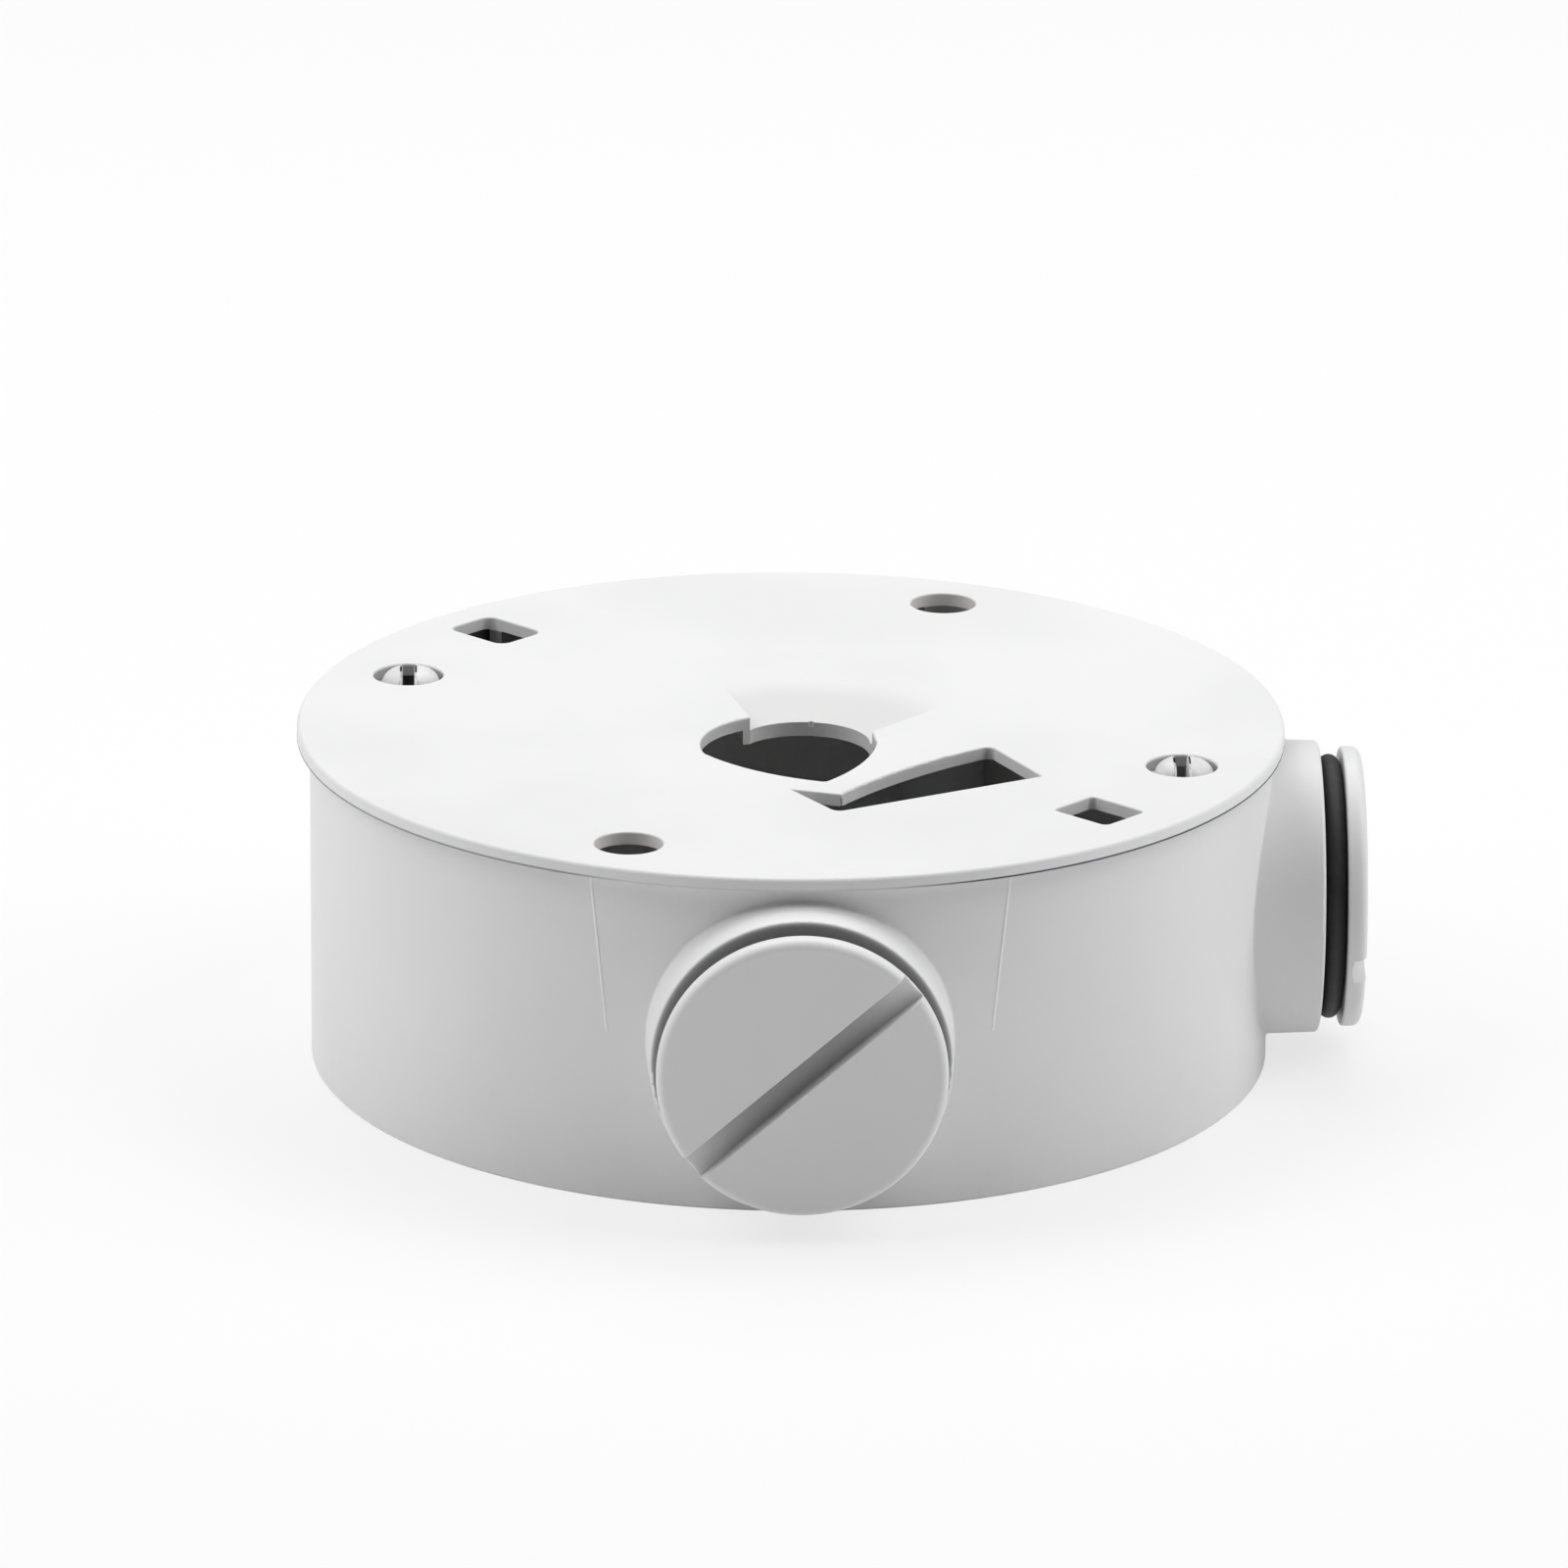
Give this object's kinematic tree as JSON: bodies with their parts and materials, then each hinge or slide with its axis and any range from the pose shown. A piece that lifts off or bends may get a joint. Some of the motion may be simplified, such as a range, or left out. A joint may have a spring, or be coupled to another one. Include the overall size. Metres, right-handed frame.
{
  "type": "camera junction box",
  "caption": "Round shallow junction box for a surveillance camera: perforated cover plate with a teardrop cable hole, and two threaded outlets at right angles closed by coin-slot plugs.",
  "frame": {"origin": "centre of the wall fixing holes' circle, on the back face that goes against the wall", "axes": "+Z from the wall to the cover plate, -Y along the front outlet, +X along the side outlet"},
  "size_m": [0.108, 0.108, 0.035],
  "materials": {
    "white_moulding": "fine satin",
    "white_plug": "fine satin",
    "black_rubber": "matt",
    "insert_metal": "turned and knurled"
  },
  "bodies": {
    "box": {"base_housing": "white_moulding", "cover_gasket": "black_rubber", "wall_seal_ring": "black_rubber", "rear_entry_grommet": "black_rubber", "far_screw_insert": "insert_metal", "near_screw_insert": "insert_metal"},
    "cover": {"cover_plate": "white_moulding"},
    "front_ring": {"front_plug_ring": "black_rubber"},
    "front_plug": {"front_plug": "white_plug"},
    "side_ring": {"side_plug_ring": "black_rubber"},
    "side_plug": {"side_plug": "white_plug"}
  },
  "joints": [
    {"name": "cover_lift", "type": "slide", "parent": "box", "child": "cover", "axis": [0, 0, 1], "range_m": [0, 0.012]},
    {"name": "front_plug_travel", "type": "slide", "parent": "box", "child": "front_ring", "axis": [0, -1, 0], "range_m": [0, 0.009]},
    {"name": "front_plug_turn", "type": "hinge", "parent": "front_ring", "child": "front_plug", "pos_m": [0, -0.0575, 0.0171], "axis": [0, -1, 0], "range_deg": [0, 2160]},
    {"name": "side_plug_travel", "type": "slide", "parent": "box", "child": "side_ring", "axis": [1, 0, 0], "range_m": [0, 0.009]},
    {"name": "side_plug_turn", "type": "hinge", "parent": "side_ring", "child": "side_plug", "pos_m": [0.0575, 0, 0.0171], "axis": [1, 0, 0], "range_deg": [0, 2160]}
  ],
  "couplings": [
    {"joint": "front_plug_travel", "follows": "front_plug_turn", "m_per_rad": 0.00023872},
    {"joint": "side_plug_travel", "follows": "side_plug_turn", "m_per_rad": 0.00023872}
  ]
}
